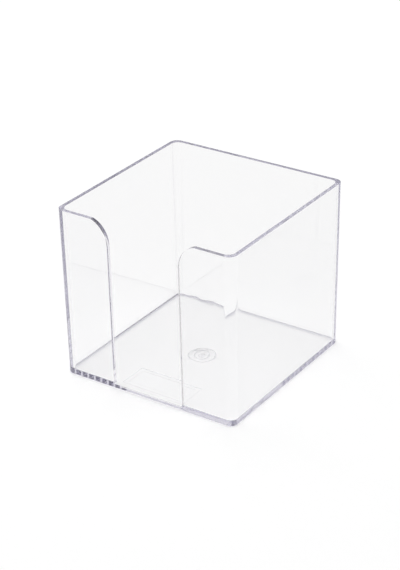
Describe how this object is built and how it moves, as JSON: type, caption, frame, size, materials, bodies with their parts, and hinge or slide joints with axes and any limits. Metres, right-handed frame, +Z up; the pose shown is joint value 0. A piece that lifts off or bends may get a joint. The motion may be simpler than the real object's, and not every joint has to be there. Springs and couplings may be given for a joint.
{
  "type": "note holder",
  "caption": "Clear open square box for loose note slips, moulded in one piece, with a thumb slot down its front wall.",
  "frame": {"origin": "middle of the base, on the surface that the box stands on", "axes": "+Z up, -Y towards the front wall with the thumb slot, +X to the right as seen from the front"},
  "size_m": [0.096, 0.096, 0.0856],
  "materials": {
    "clear_polystyrene": "clear, polished"
  },
  "bodies": {
    "root": {"holder": "clear_polystyrene"}
  },
  "joints": []
}
